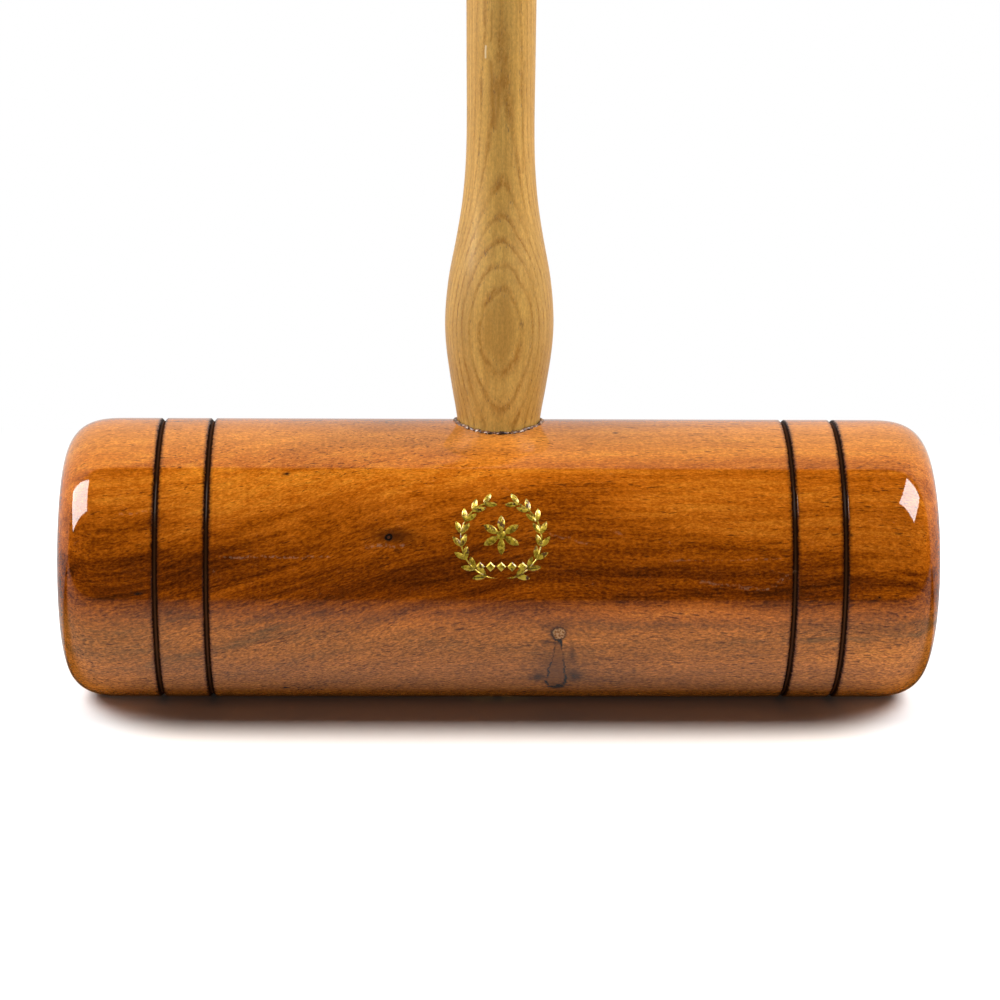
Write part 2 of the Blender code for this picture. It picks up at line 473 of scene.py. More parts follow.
def makeFloor():
    makePaper("tableTop", studio["floorFront"], studio["floorBack"])
    # the apron in front of the table never shows in the lacquer
    apron = makePaper("apron", studio["apronFront"], studio["floorFront"])
    apron.visible_glossy = False
    apron.visible_diffuse = False


def addPanel(name, bearing, elevation, turn, width, height, radiance):
    side = math.radians(bearing)
    lift = math.radians(elevation)
    out = Vector((math.sin(side) * math.cos(lift), -math.cos(side) * math.cos(lift), math.sin(lift)))
    deselectAll()
    bpy.ops.object.light_add(type="AREA", location=Vector((0, 0, axisHeight)) + out)
    panel = bpy.context.object
    panel.name = name
    aim = (-out).to_track_quat("-Z", "Y").to_matrix().to_4x4()
    twist = Matrix.Rotation(math.radians(turn), 4, "Z")
    panel.matrix_world = Matrix.Translation(panel.location) @ aim @ twist
    panel.data.shape = "RECTANGLE"
    panel.data.size = width
    panel.data.size_y = height
    panel.data.energy = radiance * math.pi * width * height
    panel.visible_camera = False
    return panel


def lightStudio():
    for name, values in studio["keys"].items():
        addPanel(name, *values).visible_glossy = False
    for name, values in studio["cards"].items():
        addPanel(name, *values).visible_diffuse = False
    world = bpy.data.worlds.new("whiteRoom")
    bpy.context.scene.world = world
    world.use_nodes = True
    tree = world.node_tree
    rays = addNode("LightPath", {}, tree).outputs
    # the lacquer reflects a dark room in front and a white sweep behind and overhead
    behind = splitXyz(addNode("TexCoord", {}, tree).outputs["Generated"])["Y"]
    sweep = remap(behind, -0.03, 0.02, 0.01, studio["sweepInLacquer"])
    air = tuple([studio["roomAir"]] * 3)
    sweepColor = addNode("CombineColor", {"Red": sweep, "Green": sweep, "Blue": sweep}).outputs[0]
    color = mixColor(rays["Is Glossy Ray"], air, sweepColor)
    color = mixColor(rays["Is Camera Ray"], color, (1.0, 1.0, 1.0))
    feed(color, tree.nodes["Background"].inputs["Color"])
    bpy.context.scene.view_settings.view_transform = "Standard"


makeFloor()
lightStudio()
print("camera, floor and lights placed")

headSetup = {
    "steps": 256,
    "smooth": 35,
    "faceFlat": 8.0 * mm,
    "faceDome": 1.0 * mm,
    "cornerLength": 16.7 * mm,
    "cornerDepth": 18.6 * mm,
    "cornerPower": 3.2,
    "cornerRings": 26,
    "grooveAt": (74.5 * mm, 87.4 * mm),
    "grooveWidth": 1.7 * mm,
    "grooveDepth": 0.8 * mm,
    "grooveRings": 10,
    "plainRings": 14,
    "boreRadius": 10.84 * mm,
    "boreSteps": 96,
    # length and width of the streaks, then of the pores
    "grain": ((0.052, 0.0046), (0.0030, 0.00040)),
    # from the darkest figure to the most golden
    "tones": (
        (0.00, (0.045, 0.010, 0.0010)),
        (0.20, (0.125, 0.024, 0.0012)),
        (0.40, (0.270, 0.059, 0.0018)),
        (0.60, (0.435, 0.106, 0.0050)),
        (0.80, (0.590, 0.176, 0.012)),
        (1.00, (0.730, 0.270, 0.022)),
    ),
    # brightness around the front, from low on the front to the top
    "belt": (
        (-57, 0.54), (-48, 0.66), (-38, 0.62), (-27, 0.54), (-19, 0.42), (-11, 0.37),
        (-2, 0.25), (5, 0.28), (12, 0.41), (23, 0.64), (46, 0.68), (57, 0.54),
    ),
    # painted sheen: the paler, milkier colours low on the front and over the top
    "lowPaintedSheen": (0.32, 0.155, 0.040),
    "topPaintedSheen": (0.70, 0.33, 0.070),
    "pore": (0.045, 0.012, 0.003),
    "char": (0.014, 0.005, 0.002),
    "charFloor": (0.060, 0.022, 0.008),
    "scorch": (0.060, 0.013, 0.002),
    "haze": (0.42, 0.27, 0.17),
    "plug": (0.36, 0.19, 0.075),
    "bark": (0.012, 0.007, 0.004),
    "deadwood": (0.165, 0.052, 0.009),
    "smudge": (0.030, 0.012, 0.005),
    # the spots of the pin knot: along, up the front, half length, half height (mm) and flat core, then
    # strength and colour
    "pinKnot": (
        ((-27.0, 12.4, 9.5, 3.6, 0.0), 0.9, (0.045, 0.010, 0.002)),
        ((-28.4, 12.0, 1.25, 1.2, 0.6), 1.0, (0.012, 0.007, 0.004)),
        ((-28.4, 12.0, 0.5, 0.5, 0.4), 1.0, (0.07, 0.02, 0.008)),
    ),
    # the dead branch's bark outline, in metres, and the rim and face of its plug
    "barkMiddle": (0.01465, -0.0250),
    "barkHalfHeight": 0.0100,
    "plugRim": (14.7, -13.3, 2.6, 2.7, 0.7),
    "plugFace": (14.8, -13.2, 2.1, 2.1, 0.75),
    # smudges around the dead branch: along, up the front, half length, half height (mm) and strength
    "smudges": (
        (14.6, -25, 10.0, 12.0, 0.46), (9.8, -29.5, 3.4, 3.6, 0.85), (19.2, -29.0, 3.0, 5.0, 0.85),
        (18.6, -20.5, 1.4, 5.0, 0.55), (14.8, -35.0, 4.4, 2.0, 0.8), (11.8, -15.8, 2.6, 1.8, 0.8),
        (14.7, -12.0, 6.0, 4.0, 0.6),
    ),
    # light and dark areas: along, up the front, half length, half height (mm) and strength
    "areas": (
        (-72, 23, 46, 8, 0.20), (-34, 28, 34, 6, 0.10), (13, 22, 26, 12, -0.20),
        (-82, 7, 36, 9, -0.12), (-92, -6, 32, 10, -0.12), (62, 12, 36, 8, 0.12),
        (100, 9, 24, 10, 0.24), (94, -13, 36, 4, -0.20), (46, -8, 44, 4, 0.16),
        (-28, -11, 30, 5, 0.14), (36, 41, 36, 7, 0.14), (-16, 38, 24, 4, -0.16),
        (92, 43, 30, 8, -0.10), (98, -18, 40, 9, 0.16), (-88, -22, 42, 13, -0.17),
        (56, -14, 30, 6, 0.10), (20, -27, 22, 9, -0.20),
    ),
    # dark streaks: start and end along and up the front, half width (mm) and strength
    "streaks": (
        ((-40, 42.4), (-13, 39.4), 1.3, 0.5), ((-13, 39.4), (6, 41.5), 1.0, 0.4),
        ((-101, 13.5), (-88, 15.1), 1.6, 0.6), ((-72, 11.0), (-43, 21.5), 1.1, 0.35),
        ((-69, -15.4), (-43, -6.7), 1.3, 0.45), ((-90, -24), (-52, -12.5), 1.9, 0.6),
        ((-43, -11), (-15, -13), 1.0, 0.25), ((79, -15.5), (112, -13.6), 1.5, 0.85),
        ((50, -17), (79, -15.5), 1.8, 0.45), ((30, -3.0), (78, -1.0), 1.6, 0.3),
        ((84, 2.0), (106, 3.0), 1.2, 0.45), ((-2, 16), (34, 23), 1.2, 0.3),
        ((-30, 2), (-4, -2), 1.4, 0.15), ((36, 44), (60, 47), 1.2, 0.3),
    ),
    # scuffs that show pale in the lacquer
    "scuffs": (
        ((-70.8, 7.0), (-43.2, 7.1), 0.55, 0.8), ((12.3, 13.0), (22.4, 10.2), 0.5, 0.5),
        ((50.3, 0.9), (66.8, -1.2), 0.7, 0.5), ((66.8, -1.2), (74.4, 3.5), 0.7, 0.8),
        ((-34, 9.9), (-25, 9.9), 0.8, 0.8), ((-97, 17.8), (-87, 19.0), 0.5, 0.5),
        ((28, 14), (31, 12), 0.6, 0.5), ((40, 6.2), (72, 6.8), 0.35, 0.5),
    ),
    "pits": (
        (-91.5, -2.3, 1.9, 0.7), (-54.5, 29.6, 1.5, 0.9), (30, 46.6, 1.2, 0.8),
        (96, -3.0, 0.8, 0.6), (-55, -36, 1.6, 0.8),
    ),
}


def headOutline(setup):
    # distance along the head and radius for the right half, from the middle outwards
    cornerStart = headHalf - setup["faceDome"] - setup["cornerLength"]
    points = [(0.0, headRadius)]
    reached = 0.0
    for centre in setup["grooveAt"]:
        start = centre - setup["grooveWidth"] / 2
        plain = max(2, round(setup["plainRings"] * (start - reached) / headHalf))
        for index in range(1, plain):
            points.append((reached + (start - reached) * index / plain, headRadius))
        for index in range(setup["grooveRings"] + 1):
            share = index / setup["grooveRings"]
            dip = math.sin(math.pi * share) ** 1.4
            points.append((start + setup["grooveWidth"] * share, headRadius - setup["grooveDepth"] * dip))
        reached = start + setup["grooveWidth"]
    for index in range(setup["cornerRings"] + 1):
        turn = index / setup["cornerRings"] * math.pi / 2
        along = cornerStart + setup["cornerLength"] * math.sin(turn) ** (2 / setup["cornerPower"])
        inward = setup["cornerDepth"] * (1 - math.cos(turn) ** (2 / setup["cornerPower"]))
        points.append((along, headRadius - inward))
    faceEdge = headRadius - setup["cornerDepth"]
    for share in (0.75, 0.5, 0.25, 0.0):
        radius = setup["faceFlat"] + (faceEdge - setup["faceFlat"]) * share
        points.append((headHalf - setup["faceDome"] * share * share, radius))
    points.append((headHalf, setup["faceFlat"] / 2))
    points.append((headHalf, 0.0))
    return points


def turnHead(setup):
    right = headOutline(setup)
    both = [(-along, radius) for along, radius in reversed(right[1:])] + right
    outline = [(along, 0.0, axisHeight - radius) for along, radius in both]
    head = turnOnLathe("turnedHead", outline, (1, 0, 0), (0, 0, axisHeight), setup["steps"])
    margin = 10 * mm
    boreOutline = [
        (0, 0, 2 * headRadius + margin),
        (setup["boreRadius"], 0, 2 * headRadius + margin),
        (setup["boreRadius"], 0, -margin),
        (0, 0, -margin),
    ]
    bore = turnOnLathe("boreTool", boreOutline, (0, 0, 1), (0, 0, 0), setup["boreSteps"])
    cutWith(head, bore, "DIFFERENCE")
    dropTool(bore)
    pickOnly(head)
    smoothBelow(setup["smooth"])
    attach(head, "root")
    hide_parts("head")
    return head


def flatPlace(along, up):
    return (along * mm, up * mm, 0.0)


def placeLines(place, lines):
    total = None
    for start, end, halfWidth, strength in lines:
        inputs = {"Place": place, "Start": flatPlace(*start), "End": flatPlace(*end)}
        inputs["Half Width"] = halfWidth * mm
        mask = times(placeGroup(lineGroup, inputs)["Mask"], strength)
        total = mask if total is None else math1("MAXIMUM", total, mask)
    return total


def placeSpot(place, along, up, halfLength, halfHeight, core=0.0):
    inputs = {"Place": place, "Centre": flatPlace(along, up), "Core": core}
    inputs["Half Size"] = (halfLength * mm, halfHeight * mm, 1.0)
    return placeGroup(spotGroup, inputs)["Mask"]


def wrinkle(place, scale, amount):
    # the place shifted a little by noise, to roughen a drawn edge
    noise = addNode("TexNoise", {"Vector": place, "Scale": scale, "Detail": 2.0}).outputs["Color"]
    shift = vector1("SUBTRACT", noise, (0.5, 0.5, 0.5))
    return vector1("ADD", place, vector1("MULTIPLY", shift, (amount, amount, 0.0)))


def paintKnots(color, front):
    paint = headSetup
    rough = wrinkle(front, 260.0, 0.0012)
    # the pin knot: a dark halo drawn out along the grain, a black ring and a brown middle
    for spot, strength, tint in paint["pinKnot"]:
        color = mixColor(times(placeSpot(rough, *spot), strength), color, tint)
    # the dead branch below the ornament: smudges, a broken bark outline, a speckled plug on top
    torn = wrinkle(wrinkle(front, 330.0, 0.0018), 1100.0, 0.0006)
    broken = remap(noiseAt(front, 480.0, 3.0, 0.7), 0.36, 0.56, 0.25, 1.0)
    for *spot, strength in paint["smudges"]:
        color = mixColor(times(placeSpot(torn, *spot), strength), color, paint["smudge"])
    parts = splitXyz(torn)
    halfWidth = remap(parts["Y"], -0.0345, -0.018, 0.0031, 0.0013)
    across = math1("DIVIDE", minus(parts["X"], paint["barkMiddle"][0]), halfWidth)
    rise = math1("DIVIDE", minus(parts["Y"], paint["barkMiddle"][1]), paint["barkHalfHeight"])
    corners = [math1("POWER", math1("ABSOLUTE", value), 3.0) for value in (across, rise)]
    reach = math1("POWER", math1("ADD", *corners), 1 / 3)
    inside = fadeOut(reach, 0.98, 1.16)
    outline = times(inside, remap(reach, 0.76, 0.92))
    grit = remap(noiseAt(front, 1900.0, 2.0, 0.6), 0.42, 0.56)
    plug = mixColor(grit, paint["deadwood"], paint["plug"])
    layers = (
        (remap(reach, 0.80, 1.0, 0.5, 0.0), paint["deadwood"]),
        (times(outline, broken), paint["bark"]),
        (placeSpot(torn, *paint["plugRim"]), paint["bark"]),
        (placeSpot(torn, *paint["plugFace"]), plug),
    )
    return layOver(color, layers)


def paintHead():
    paint = headSetup
    material, shader, place = newMaterial(
        "lacqueredHeadwood", Roughness=0.6, Specular_IOR_Level=0.0, Coat_Roughness=0.035, Coat_IOR=1.5
    )
    centred = addNode("Mapping", {"Vector": place, "Location": (0, 0, -axisHeight)}).outputs[0]
    parts = splitXyz(centred)
    along = parts["X"]
    toFront = times(parts["Y"], -1.0)
    # distance around the head, 0 on the front at the height of the axis
    around = times(math1("ARCTAN2", parts["Z"], toFront), headRadius)
    front = joinXyz(along, around)
    # 1 on the barrel, 0 in the middle of a striking face, where distance around has no meaning
    barrel = remap(lengthOf(joinXyz(0.0, parts["Y"], parts["Z"])), 0.010, 0.031)

    # the grain climbs from the left face to the middle, then runs nearly level
    climb = remap(along, -0.115, 0.02, -0.016, 0.012)
    wander = times(noiseAt(centred, 14.0, 2.0), 0.012)
    lifted = minus(minus(parts["Z"], climb), wander)
    grainPlace = joinXyz(along, parts["Y"], lifted)
    grain = grainAlong(grainPlace, *paint["grain"])

    # tone: a belt around the head, areas of figure, then streaks of grain
    beltPlace = remap(around, -0.0573, 0.0573, 0.0, 1.0, smooth=False)
    stops = [((up + 57.3) / 114.6, (tone, tone, tone)) for up, tone in paint["belt"]]
    tone = addNode("RGBToBW", {"Color": colorRamp(beltPlace, stops, "B_SPLINE")}).outputs[0]
    wavy = wrinkle(front, 35.0, 0.012)
    for *area, strength in paint["areas"]:
        tone = plus(tone, times(placeSpot(wavy, *area), strength))
    tone = plus(swing(tone, barrel), 0.5)
    speck = noiseAt(stretchBy(grainPlace, 0.0011, 0.00045), 1.0, 2.0, 0.7)
    chatter = noiseAt(stretchBy(centred, 0.00065, 0.02), 1.0, 1.0)
    for noise, amount in ((grain["Broad"], -0.85), (grain["Fine"], 0.62), (speck, 0.62), (chatter, 0.10)):
        tone = plus(tone, swing(noise, amount))
    smoke = placeLines(wrinkle(front, 120.0, 0.0035), paint["streaks"])
    broken = remap(grain["Fine"], 0.35, 0.65, 1.0, 0.45)
    smoke = times(times(smoke, broken), barrel)
    tone = minus(tone, times(smoke, 0.36))
    color = colorRamp(tone, paint["tones"])

    # painted sheen: the wood is a little paler and milkier low on the front and over the top, standing in
    # for a haze of reflected light in the lacquer
    low = remap(around, -0.016, -0.002, 0.38, 0.0)
    low = times(low, remap(around, -0.068, -0.050))
    low = times(low, barrel)
    high = remap(around, 0.030, 0.044, 0.0, 0.30)
    high = times(high, fadeOut(around, 0.050, 0.068))
    high = times(high, barrel)
    color = layOver(color, ((low, paint["lowPaintedSheen"]), (high, paint["topPaintedSheen"])))
    # the speckle is stronger low on the front
    deep = remap(around, -0.016, -0.002, 0.60, 0.85)
    bright = minus(2.02, deep)
    stipple = remap(speck, 0.33, 0.67, deep, bright, smooth=False)
    threads = remap(grain["Fine"], 0.32, 0.68, bright, deep, smooth=False)
    shade = times(stipple, math1("POWER", threads, 0.6))
    color = scaled(color, shade)
    pores = times(grain["Pores"], 0.75)
    color = mixColor(pores, color, paint["pore"])
    color = paintKnots(color, front)
    crumbled = wrinkle(front, 400.0, 0.0008)
    for pit in paint["pits"]:
        color = mixColor(placeSpot(crumbled, *pit), color, paint["bark"])

    # burnt lines: charred floor, scorched edges
    distance = math1("ABSOLUTE", along)
    ragged = swing(noiseAt(centred, 1500.0, 2.0), 0.0011)
    char = 0.0
    for centre in paint["grooveAt"]:
        off = math1("ABSOLUTE", minus(distance, centre))
        scorch = remap(plus(off, ragged), 0.0006, 0.0017, 0.80, 0.0)
        burnt = fadeOut(plus(off, ragged), 0.0005, 0.0010)
        bottom = remap(off, 0.0001, 0.0004, 0.8, 0.0)
        layers = ((scorch, paint["scorch"]), (burnt, paint["char"]), (bottom, paint["charFloor"]))
        color = layOver(color, layers)
        char = math1("MAXIMUM", burnt, char)

    # scuffs and hairlines in the lacquer
    wear = placeGroup(scuffGroup, {"Vector": centred, "Amount": 0.35})
    scuffs = placeLines(wrinkle(front, 300.0, 0.0018), paint["scuffs"])
    patchy = remap(noiseAt(front, 700.0, 2.0, 0.7), 0.45, 0.62)
    marks = math1("MAXIMUM", times(scuffs, patchy), wear["Hairlines"])
    color = mixColor(times(marks, 0.4), color, paint["haze"])
    feed(color, shader["Base Color"])
    # the lacquer is thin over the char and dull where it is scuffed
    coat = minus(1.0, times(char, 0.9))
    coat = minus(coat, times(marks, 0.3))
    feed(coat, shader["Coat Weight"])
    height = minus(grain["Fine"], times(grain["Pores"], 1.5))
    bumpFrom(height, 0.00006, shader["Normal"])
    # a faint orange peel in the lacquer
    peel = noiseAt(centred, 900.0, 2.0, 0.6)
    bumpFrom(peel, 0.000004, shader["Coat Normal"])
    return material


head = turnHead(headSetup)
dress(head, paintHead())
print("head turned")

handleSetup = {
    "steps": 112,
    "smooth": 32,
    "fineStep": 1.6 * mm,
    "coarseStep": 12.0 * mm,
    "fineUpTo": 0.21,
    "ringsFrom": 72.5 * mm,
    "tenonRadius": 10.8 * mm,
    "tenonRings": (0.06, 0.03, -0.003),
    # half thickness at the sole and at the thin end, half width, depth
    "kerf": (1.36 * mm, 0.56 * mm, 11.5 * mm, 42.2 * mm),
    "grain": ((0.05, 0.0016), (0.0018, 0.00030)),
    "pale": (0.70, 0.395, 0.088),
    "tan": (0.57, 0.300, 0.060),
    "brown": (0.40, 0.165, 0.021),
    "heart": (0.50, 0.250, 0.046),
    "pore": (0.20, 0.105, 0.038),
    "scratch": (0.85, 0.70, 0.45),
    "scratches": (((-4.2, 167.4), (-4.1, 170.4), 0.35, 0.9),),
    # the growth rings are nearly flat sheets, seen as ovals where the swell cuts through them
    "pithBehind": 55 * mm,
    "lean": 0.025,
    "leanFrom": 97 * mm,
    "outerRing": 13.42 * mm,
    "ringStep": 1.23 * mm,
    # brown streaks on the front: start and end across and up (mm), half width and strength
    "streaks": (
        ((-2.8, 171.6), (-2.6, 179.2), 0.45, 0.8), ((-3.0, 166.4), (-1.8, 149.7), 0.9, 0.7),
        ((0.7, 167.5), (-1.6, 150.5), 0.9, 0.6), ((5.6, 166.4), (5.5, 138.5), 0.45, 0.6),
        ((3.0, 158.0), (2.6, 140.0), 0.5, 0.35), ((-5.6, 162.0), (-5.3, 154.0), 0.4, 0.45),
    ),
}


def cadHandleOutline():
    # height and radius of each ring of the CAD handle, on its +X side
    rings = {}
    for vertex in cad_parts["handle"].data.vertices:
        if abs(vertex.co.y) < 0.05 * mm and vertex.co.x > 8 * mm:
            rings[round(vertex.co.z, 5)] = vertex.co.x
    return sorted(rings.items())


def smoothOutline(rings, setup):
    # a cubic curve through the CAD rings above the joint, cut into short steps
    stations = [ring for ring in rings if ring[0] >= setup["ringsFrom"]]

    def slope(index):
        before = stations[max(index - 1, 0)]
        after = stations[min(index + 1, len(stations) - 1)]
        return (after[1] - before[1]) / (after[0] - before[0])

    points = []
    for index in range(len(stations) - 1):
        (low, lowRadius), (high, highRadius) = stations[index], stations[index + 1]
        span = high - low
        step = setup["fineStep"] if low < setup["fineUpTo"] or span < 5 * mm else setup["coarseStep"]
        count = max(1, round(span / step))
        for part in range(count):
            share = part / count
            rise = share * share * (3 - 2 * share)
            pull = share * (1 - share) ** 2 * span * slope(index)
            pull -= share * share * (1 - share) * span * slope(index + 1)
            points.append((low + span * share, lowRadius + (highRadius - lowRadius) * rise + pull))
    points.append(stations[-1])
    return points


def turnHandle(setup):
    rings = smoothOutline(cadHandleOutline(), setup)
    falling = [(0.0, 0.0, handleTop)]
    falling += [(radius, 0.0, height) for height, radius in reversed(rings)]
    falling += [(setup["tenonRadius"], 0.0, height) for height in setup["tenonRings"]]
    falling.append((0.0, 0.0, setup["tenonRings"][-1]))
    handle = turnOnLathe("turnedHandle", falling, (0, 0, 1), (0, 0, 0), setup["steps"])
    kerf = wedgeForm("kerfTool", setup["kerf"])
    cutWith(handle, kerf, "DIFFERENCE")
    dropTool(kerf)
    trimToSole(handle)
    pickOnly(handle)
    smoothBelow(setup["smooth"])
    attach(handle, "root")
    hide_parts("handle")
    return handle


def wedgeForm(name, sizes):
    thick, thin, halfWidth, depth = sizes
    low = -3 * mm
    deselectAll()
    bpy.ops.mesh.primitive_cube_add(size=1.0, location=(0, 0, (depth + low) / 2))
    wedge = nameActive(name)
    setMode("EDIT")
    bpy.ops.transform.resize(value=(2 * thick, 2 * halfWidth, depth - low))
    setMode("OBJECT")
    pickFaces(wedge, lambda face: face.normal.z > 0.9)
    bpy.ops.transform.resize(value=(thin / thick, 1, 1))
    setMode("OBJECT")
    settle(wedge)
    return wedge


def trimToSole(piece):
    # cut away what hangs below the head's round underside
    deselectAll()
    bpy.ops.mesh.primitive_cylinder_add(
        vertices=256,
        radius=headRadius,
        depth=40 * mm,
        location=(0, 0, axisHeight),
        rotation=(0, math.pi / 2, 0),
    )
    tool = nameActive("soleTool")
    settle(tool)
    # stretch its upper half past the top of the handle
    pickFaces(tool, lambda face: face.normal.z > 0.01)
    bpy.ops.transform.translate(value=(0, 0, handleTop))
    setMode("OBJECT")
    cutWith(piece, tool, "INTERSECT")
    dropTool(tool)


def addTurned(place):
    # the handle's length turned onto X, as the grain effect expects
    return addNode("Mapping", {"Vector": place, "Rotation": (0, math.pi / 2, 0)}).outputs[0]


def paintHandle():
    paint = handleSetup
    material, shader, place = newMaterial(
        "varnishedAsh", Coat_Weight=0.3, Coat_Roughness=0.22, Coat_IOR=1.48, Specular_IOR_Level=0.3
    )
    parts = splitXyz(place)
    turned = addTurned(place)
    warp = noiseAt(stretchBy(turned, 0.022, 0.006), 1.0, 3.0, 0.6)
    ripple = noiseAt(stretchBy(turned, 0.0012, 0.0006), 1.0, 2.0, 0.7)
    depth = minus(paint["pithBehind"], parts["Y"])
    radius = lengthOf(joinXyz(parts["X"], depth))
    lean = times(minus(parts["Z"], paint["leanFrom"]), paint["lean"])
    layer = minus(radius, lean)
    layer = plus(layer, swing(warp, 0.0011))
    layer = plus(layer, swing(ripple, 0.00030))
    offset = paint["pithBehind"] + paint["outerRing"]
    turns = math1("DIVIDE", minus(layer, offset), paint["ringStep"])
    phase = math1("FRACT", plus(turns, 60.0))
    # each ring darkens slowly, ends in a soft brown line and starts pale again
    late = remap(phase, 0.35, 1.0)
    line = times(remap(phase, 0.55, 0.90), fadeOut(phase, 0.90, 1.0))
    start = fadeOut(phase, 0.0, 0.22)
    heart = remap(turns, -0.05, 0.25)
    grain = grainAlong(turned, *paint["grain"])
    color = mixColor(remap(grain["Broad"], 0.3, 0.7), paint["pale"], paint["tan"])
    color = layOver(color, ((times(late, 0.45), paint["tan"]), (times(heart, 0.7), paint["heart"])))
    patchy = remap(noiseAt(place, 160.0, 2.0), 0.3, 0.65, 0.25, 0.9)
    patchy = times(patchy, remap(ripple, 0.34, 0.58, 0.35, 1.0))
    color = mixColor(times(line, patchy), color, paint["brown"])
    front = joinXyz(parts["X"], parts["Z"])
    onFront = fadeOut(parts["Y"], -0.003, 0.001)
    streaks = placeLines(wrinkle(front, 220.0, 0.0010), paint["streaks"])
    streaks = times(streaks, onFront)
    streaks = times(streaks, remap(grain["Fine"], 0.3, 0.6, 0.5, 1.0))
    color = mixColor(streaks, color, paint["brown"])
    # open pores crowd the start of each ring
    crowd = plus(math1("MAXIMUM", start, line), 0.18)
    pores = math1("MULTIPLY", grain["Pores"], crowd, clamp=True)
    color = mixColor(times(pores, 0.7), color, paint["pore"])
    speck = noiseAt(stretchBy(turned, 0.0010, 0.00045), 1.0, 2.0, 0.7)
    # painted shade: a little deeper in tone on the flanks than on the front, tempering the light of the
    # side keys
    side = math1("DIVIDE", math1("ABSOLUTE", parts["X"]), 0.0145)
    shade = remap(speck, 0.3, 0.7, 0.84, 1.13, smooth=False)
    shade = times(shade, remap(side, 0.25, 0.72, 1.0, 0.76))
    fine = remap(grain["Fine"], 0.3, 0.7, 0.93, 1.07, smooth=False)
    shade = times(shade, fine)
    color = scaled(color, shade)
    scratch = placeLines(wrinkle(front, 500.0, 0.0003), paint["scratches"])
    color = mixColor(times(scratch, onFront), color, paint["scratch"])
    feed(color, shader["Base Color"])
    wear = placeGroup(scuffGroup, {"Vector": place, "Amount": 0.5})
    feed(remap(wear["Cloud"], 0.3, 0.7, 0.42, 0.58), shader["Roughness"])
    height = minus(grain["Fine"], times(pores, 1.5))
    height = plus(height, times(speck, 0.5))
    bumpFrom(height, 0.00007, shader["Normal"])
    return material


handle = turnHandle(handleSetup)
dress(handle, paintHandle())
print("handle turned")

wedgeSetup = {
    "smooth": 40,
    "sizes": (1.3 * mm, 0.5 * mm, 10.45 * mm, 41.9 * mm),
    "edge": 0.12 * mm,
    "grain": ((0.03, 0.0012), (0.0012, 0.00025)),
    "end": (0.27, 0.125, 0.045),
    "dark": (0.12, 0.045, 0.014),
    "pore": (0.03, 0.012, 0.005),
}


def driveWedge(setup):
    wedge = wedgeForm("drivenWedge", setup["sizes"])
    trimToSole(wedge)
    bevel = wedge.modifiers.new("crushed edges", "BEVEL")
    bevel.width = setup["edge"]
    bevel.segments = 2
    applyAll(wedge)
    smoothBelow(setup["smooth"])
    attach(wedge, "root")
    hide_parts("wedge")
    return wedge


def paintWedge(setup):
    material, shader, place = newMaterial("varnishedWedge", Coat_Weight=0.8, Coat_Roughness=0.12)
    grain = grainAlong(addTurned(place), *setup["grain"])
    color = mixColor(remap(grain["Broad"], 0.3, 0.7), setup["end"], setup["dark"])
    color = mixColor(times(grain["Pores"], 0.8), color, setup["pore"])
    feed(color, shader["Base Color"])
    feed(remap(grain["Fine"], 0.3, 0.7, 0.4, 0.6), shader["Roughness"])
    bumpFrom(grain["Fine"], 0.00008, shader["Normal"])
    return material


wedge = driveWedge(wedgeSetup)
dress(wedge, paintWedge(wedgeSetup))
print("wedge driven")

beadSetup = {
    "smooth": 60,
    "radius": 11.30 * mm,
    "thickness": 0.50 * mm,
    "around": 260,
    "sides": 12,
    "lumps": 0.80 * mm,
    "lumpSize": 1.1 * mm,
    "crumbs": 0.50 * mm,
    "crumbSize": 0.4 * mm,
    "dark": (0.030, 0.012, 0.006),
    "brown": (0.22, 0.080, 0.024),
    "crust": (0.62, 0.46, 0.30),
}


def lumpyPush(piece, name, size, strength):
    texture = bpy.data.textures.new(name, "CLOUDS")
    texture.noise_scale = size
    texture.noise_depth = 2
    push = piece.modifiers.new(name, "DISPLACE")
    push.texture = texture
    push.texture_coords = "LOCAL"
    push.mid_level = 0.5
    push.strength = strength


def layBead(setup):
    deselectAll()
    bpy.ops.mesh.primitive_torus_add(
        major_radius=setup["radius"],
        minor_radius=setup["thickness"],
        major_segments=setup["around"],
        minor_segments=setup["sides"],
    )
    bead = nameActive("glueBead")
    # the ring sags over the head's round top, lowest in front and behind
    for vertex in bead.data.vertices:
        reach = math.hypot(vertex.co.x, vertex.co.y)
        middle = vertex.co.y / reach * setup["radius"]
        vertex.co.z += axisHeight + math.sqrt(headRadius**2 - middle**2)
    lumpyPush(bead, "lumps", setup["lumpSize"], setup["lumps"])
    lumpyPush(bead, "crumbs", setup["crumbSize"], setup["crumbs"])
    applyAll(bead)
    smoothBelow(setup["smooth"])
    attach(bead, "root")
    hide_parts("shoulder_bead")
    return bead


def paintBead(setup):
    material, shader, place = newMaterial(
        "setGlue", Roughness=0.5, Coat_Weight=0.9, Coat_Roughness=0.08, Coat_IOR=1.5, Specular_IOR_Level=0.2
    )
    cloud = noiseAt(place, 700.0, 3.0, 0.6)
    grit = noiseAt(place, 2600.0, 2.0, 0.6)
    color = mixColor(remap(cloud, 0.40, 0.62), setup["dark"], setup["brown"])
    crust = times(remap(grit, 0.54, 0.64), remap(cloud, 0.46, 0.56))
    color = mixColor(crust, color, setup["crust"])
    feed(color, shader["Base Color"])
    bumpFrom(grit, 0.00010, shader["Normal"])
    return material


bead = layBead(beadSetup)
dress(bead, paintBead(beadSetup))
print("glue bead laid")

